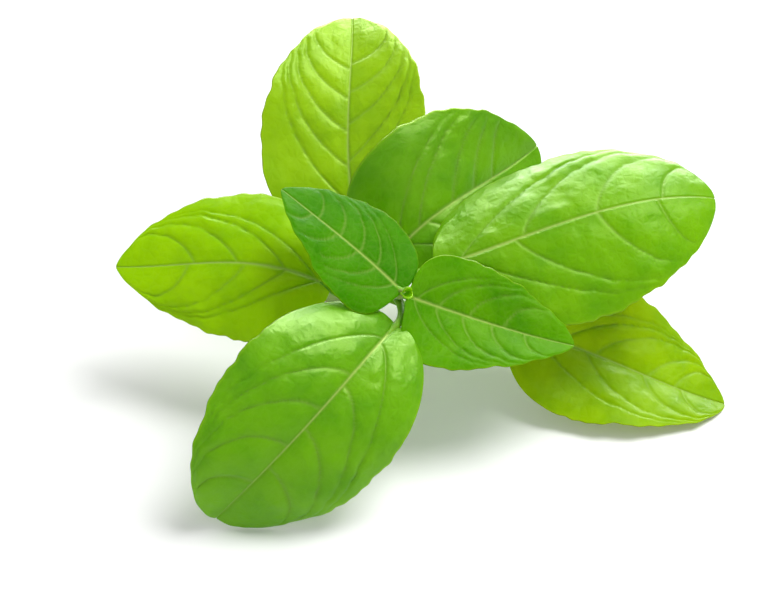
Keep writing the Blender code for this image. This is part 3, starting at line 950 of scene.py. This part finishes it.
def clear_hair():
    """Plant hair: pale and bright where light catches it."""
    material, tree = new_material("Clear plant hair")
    spot = add(tree, "ShaderNodeTexCoord").outputs["Object"]
    drift = add(tree, NOISE, {"Vector": spot, "Scale": PER_MM / 4})
    pale, green = (*linear("#CCE48C"), 1.0), (*linear("#A4C860"), 1.0)
    colour = add(tree, BLEND, {0: drift, 6: pale, 7: green}, **COLOUR).outputs[2]
    shader = {"Base Color": colour, "Roughness": 0.5, "Specular IOR Level": 0.2}
    shader = add(tree, "ShaderNodeBsdfPrincipled", shader)
    add(tree, "ShaderNodeOutputMaterial", {"Surface": shader})
    return material


def white_paper(look):
    """Matt white backing paper: bright and even, with a faint tooth."""
    material, tree = new_material("Matt white paper")
    spot = add(tree, "ShaderNodeTexCoord").outputs["Object"]
    tooth = add(tree, NOISE, {"Vector": spot, "Scale": PER_MM / 0.4, "Detail": 2.0})
    bump = add(tree, "ShaderNodeBump", {"Height": tooth, "Distance": 0.00001, "Strength": 0.3})
    shader = {"Base Color": (*look.floor_colour, 1.0), "Roughness": 0.9, "Normal": bump}
    shader["Specular IOR Level"] = 0.2
    shader = add(tree, "ShaderNodeBsdfPrincipled", shader)
    add(tree, "ShaderNodeOutputMaterial", {"Surface": shader})
    return material


# The studio.


def add_floor(look):
    corners = [(across * FLOOR_REACH, away * FLOOR_REACH, 0.0) for across, away in FLOOR_CORNERS]
    mesh = bpy.data.meshes.new("floor")
    mesh.from_pydata(corners, [], [(0, 1, 2, 3)])
    mesh.materials.append(white_paper(look))
    floor = bpy.data.objects.new("floor", mesh)
    bpy.context.scene.collection.objects.link(floor)


def add_light(name, direction, distance, size, power, target, gloss_only=False):
    lamp = bpy.data.lights.new(name, "AREA")
    lamp.shape = "DISK"
    lamp.size = size
    lamp.energy = power
    light = bpy.data.objects.new(name, lamp)
    toward = Vector(direction).normalized()
    light.location = target + toward * distance
    light.rotation_euler = toward.to_track_quat("Z", "Y").to_euler()
    light.visible_diffuse = not gloss_only
    bpy.context.scene.collection.objects.link(light)


def add_sky(strength):
    world = bpy.data.worlds.new("Studio sky")
    world.use_nodes = True
    world.node_tree.nodes.clear()
    sky = add(world.node_tree, "ShaderNodeBackground", {"Color": (1.0, 1.0, 1.0, 1.0), "Strength": strength})
    add(world.node_tree, "ShaderNodeOutputWorld", {"Surface": sky})
    bpy.context.scene.world = world


def add_camera(look):
    camera = bpy.data.cameras.new("camera")
    camera.lens = look.lens
    camera.sensor_width = 36.0
    camera.clip_start = 0.01
    view = Vector((0.0, np.cos(look.elevation), -np.sin(look.elevation)))
    holder = bpy.data.objects.new("camera", camera)
    holder.location = Vector(look.target) - view * look.distance
    holder.rotation_euler = view.to_track_quat("-Z", "Y").to_euler()
    bpy.context.scene.collection.objects.link(holder)
    bpy.context.scene.camera = holder


# Sizes and colours that a user would change.


def small_length(name, description, default, least, most):
    """A setting for a length of a few millimetres or less."""
    shown = {"precision": 5, "subtype": "DISTANCE", "unit": "LENGTH"}
    return FloatProperty(name=name, description=description, default=default, min=least, max=most, **shown)


def tint(name, description, default):
    """A setting for a colour."""
    shown = {"min": 0.0, "max": 1.0, "size": 3, "subtype": "COLOR"}
    return FloatVectorProperty(name=name, description=description, default=default, **shown)


class SprigLeafLook(bpy.types.PropertyGroup):
    """How the leaf blades are shaped and coloured."""

    point_spacing: small_length("Point spacing", "Distance between a blade's points", 0.00033, 0.0002, 0.002)
    blade_thickness: small_length(
        "Blade thickness", "Thickness of a blade away from its margin", 0.00035, 0.0001, 0.001,
    )
    puff_height: small_length(
        "Puff height", "How far a blade domes up between two side veins", 0.0006, 0.0, 0.003,
    )
    vein_depth: small_length("Vein depth", "How far the veins sink into the upper face", 0.0003, 0.0, 0.001)
    vein_width: small_length(
        "Vein width", "Half width of the groove over a side vein", 0.00055, 0.0001, 0.002,
    )
    midrib_width: small_length(
        "Midrib width", "Half width of the groove over the midrib at the stalk", 0.0010, 0.0001, 0.003,
    )
    pucker_height: small_length(
        "Pucker height", "Height of the small puckers between fine veins", 0.00016, 0.0, 0.001,
    )
    pucker_size: FloatProperty(
        name="Pucker size",
        description="Distance between neighbouring puckers",
        default=0.0042, min=0.001, max=0.01, precision=4, subtype="DISTANCE", unit="LENGTH",
    )
    tooth_depth: small_length("Tooth depth", "Depth of the low teeth on the margin", 0.00026, 0.0, 0.002)
    wave_height: small_length(
        "Wave height", "Height of the slow waves at the margin of a 60 mm leaf", 0.0007, 0.0, 0.003,
    )
    waves: FloatProperty(
        name="Waves",
        description="Number of slow waves along a margin",
        default=2.4, min=0.0, max=8.0,
    )
    vein_colour: tint("Vein colour", "Colour of the veins", linear("#CCE674"))
    edge_colour: tint("Margin colour", "Colour of the blade's thin margin", linear("#A8CC1C"))
    underside_colour: tint("Underside colour", "Colour of the blade's matt lower face", linear("#88B83C"))


class SprigStemLook(bpy.types.PropertyGroup):
    """How the stem, the stalks and their hairs look."""

    corner_share: FloatProperty(
        name="Corner rounding",
        description="Radius of the stem's corners as a share of half its width",
        default=0.55, min=0.05, max=0.95, subtype="FACTOR",
    )
    rib_points: IntProperty(
        name="Points round a rib", description="Points round each stalk and rib", default=12, min=6, max=32,
    )
    hairs_per_square_mm: FloatProperty(
        name="Hairs per square mm", description="How densely the fine hairs stand",
        default=0.45, min=0.0, max=5.0,
    )
    hair_length: small_length("Hair length", "Length of the longest fine hairs", 0.0005, 0.0001, 0.003)
    hair_thickness: FloatProperty(
        name="Hair thickness", description="Thickness of a fine hair at its root",
        default=0.00006, min=0.00001, max=0.0003, precision=6, subtype="DISTANCE", unit="LENGTH",
    )
    seed: IntProperty(name="Seed", description="Which scatter of hairs is used", default=4, min=0)
    stem_colour: tint("Stem colour", "Colour of the stem", linear("#8DAE3E"))
    stalk_colour: tint("Stalk colour", "Colour of the leaf stalks and ribs", linear("#7CB428"))
    cut_colour: tint("Cut colour", "Colour of the dried cut end", linear("#B58C48"))


class SprigStudioLook(bpy.types.PropertyGroup):
    """The camera, the light and the floor."""

    target: FloatVectorProperty(
        name="Target", description="Point that the camera looks at",
        default=(-0.01040, -0.01880, 0.03762), size=3, subtype="XYZ", unit="LENGTH",
    )
    distance: FloatProperty(
        name="Distance", description="From the camera to its target",
        default=0.4206, min=0.1, max=5.0, precision=4, subtype="DISTANCE", unit="LENGTH",
    )
    elevation: FloatProperty(
        name="Elevation", description="Angle of the view down onto the table",
        default=float(np.radians(38)), min=0.0, max=1.57, subtype="ANGLE", unit="ROTATION",
    )
    lens: FloatProperty(
        name="Lens", description="Focal length in millimetres", default=85.0, min=10.0, max=300.0,
    )
    key_power: FloatProperty(
        name="Key light", description="Power of the large soft light", default=6.5, min=0.0, max=100.0,
        unit="POWER",
    )
    back_power: FloatProperty(
        name="Back light", description="Power of the wide light that only shows as gloss",
        default=60.0, min=0.0, max=100.0, unit="POWER",
    )
    sky_strength: FloatProperty(
        name="Sky light", description="Brightness of the even white surroundings",
        default=0.62, min=0.0, max=5.0,
    )
    floor_colour: tint("Floor colour", "Colour of the floor", (0.9, 0.9, 0.9))


class SPRIG_OT_leaf_blades(bpy.types.Operator):
    """Make the eight leaf blades with their veins and puckers"""

    bl_idname = "sprig.leaf_blades"
    bl_label = "Leaf blades"

    def execute(self, context):
        look = context.scene.sprig_leaf
        tree = relief_tree()
        for seed, leaf in enumerate(LEAVES):
            title = "Fresh leaf, " + leaf.name.replace("_", " ")
            finish = fresh_leaf(title, LEAF_TONES_AND_PAINTED_LIGHT[leaf.name], look)
            blade = add_blade(leaf, tree, look, look.point_spacing, finish, seed)
        return {"FINISHED"}


class SPRIG_OT_bud(bpy.types.Operator):
    """Make the two folded leaflets of the bud"""

    bl_idname = "sprig.bud"
    bl_label = "Bud"

    def execute(self, context):
        look = context.scene.sprig_leaf
        tree = relief_tree()
        for seed, leaf in enumerate(LEAFLETS):
            title = "Tender leaflet, " + leaf.name.replace("_", " ")
            finish = fresh_leaf(title, LEAF_TONES_AND_PAINTED_LIGHT[leaf.name], look, rim=0.4)
            blade = add_blade(leaf, tree, look, look.point_spacing / 5, finish, 20 + seed)
        return {"FINISHED"}


class SPRIG_OT_stalks(bpy.types.Operator):
    """Make each leaf's stalk, midrib and side ribs"""

    bl_idname = "sprig.stalks"
    bl_label = "Stalks and ribs"

    def execute(self, context):
        leaf_look = context.scene.sprig_leaf
        stem_look = context.scene.sprig_stem
        tree = sweep_tree()
        finish = fresh_stalk(stem_look)
        for leaf in LEAVES:
            ribs = add_ribs(leaf, tree, leaf_look, stem_look.rib_points, finish)
        return {"FINISHED"}


class SPRIG_OT_stem(bpy.types.Operator):
    """Make the square stem with its dried cut end"""

    bl_idname = "sprig.stem"
    bl_label = "Stem"

    def execute(self, context):
        look = context.scene.sprig_stem
        add_stem(stem_tree(), look, downy_stem(look), dried_cut(look))
        return {"FINISHED"}


class SPRIG_OT_hairs(bpy.types.Operator):
    """Scatter fine hairs on the stem and the stalks"""

    bl_idname = "sprig.hairs"
    bl_label = "Fine hairs"

    def execute(self, context):
        names = ["stem_rod"] + [leaf.name + "_stalk" for leaf in LEAVES]
        hosts = [piece for piece in bpy.data.objects if piece.name in names]
        if len(hosts) != len(LEAVES) + 1:
            raise RuntimeError("The hairs need the stem and every stalk to be made first")
        add_hairs(hair_tree(), context.scene.sprig_stem, clear_hair(), hosts)
        return {"FINISHED"}


class SPRIG_OT_studio(bpy.types.Operator):
    """Set up the floor, the soft light and the camera"""

    bl_idname = "sprig.studio"
    bl_label = "Studio"

    def execute(self, context):
        look = context.scene.sprig_studio
        target = Vector(look.target)
        add_floor(look)
        add_light("key_light", *KEY_LIGHT, look.key_power, target)
        add_light("back_light", *BACK_LIGHT, look.back_power, target, gloss_only=True)
        add_sky(look.sky_strength)
        add_camera(look)
        context.scene.view_settings.view_transform = "Standard"
        return {"FINISHED"}


class SPRIG_PT_panel(bpy.types.Panel):
    """Sizes, colours and steps of the sprig"""

    bl_idname = "SPRIG_PT_panel"
    bl_label = "Basil Sprig"
    bl_space_type = "VIEW_3D"
    bl_region_type = "UI"
    bl_category = "Basil Sprig"

    def draw(self, context):
        for settings in (context.scene.sprig_leaf, context.scene.sprig_stem, context.scene.sprig_studio):
            box = self.layout.box()
            for name in settings.bl_rna.properties.keys():
                if name not in ("rna_type", "name"):
                    box.prop(settings, name)
        for operator in OPERATORS:
            self.layout.operator(operator.bl_idname)


SETTINGS = (SprigLeafLook, SprigStemLook, SprigStudioLook)
OPERATORS = (
    SPRIG_OT_leaf_blades,
    SPRIG_OT_stalks,
    SPRIG_OT_stem,
    SPRIG_OT_bud,
    SPRIG_OT_hairs,
    SPRIG_OT_studio,
)
CLASSES = (*SETTINGS, *OPERATORS, SPRIG_PT_panel)


def register():
    for cls in CLASSES:
        bpy.utils.register_class(cls)
    bpy.types.Scene.sprig_leaf = PointerProperty(type=SprigLeafLook)
    bpy.types.Scene.sprig_stem = PointerProperty(type=SprigStemLook)
    bpy.types.Scene.sprig_studio = PointerProperty(type=SprigStudioLook)


def unregister():
    del bpy.types.Scene.sprig_studio
    del bpy.types.Scene.sprig_stem
    del bpy.types.Scene.sprig_leaf
    for cls in reversed(CLASSES):
        bpy.utils.unregister_class(cls)


def main():
    register()
    bpy.ops.sprig.leaf_blades()
    bpy.ops.sprig.stalks()
    bpy.ops.sprig.stem()
    bpy.ops.sprig.bud()
    bpy.ops.sprig.hairs()
    bpy.ops.sprig.studio()


if __name__ == "__main__":
    main()
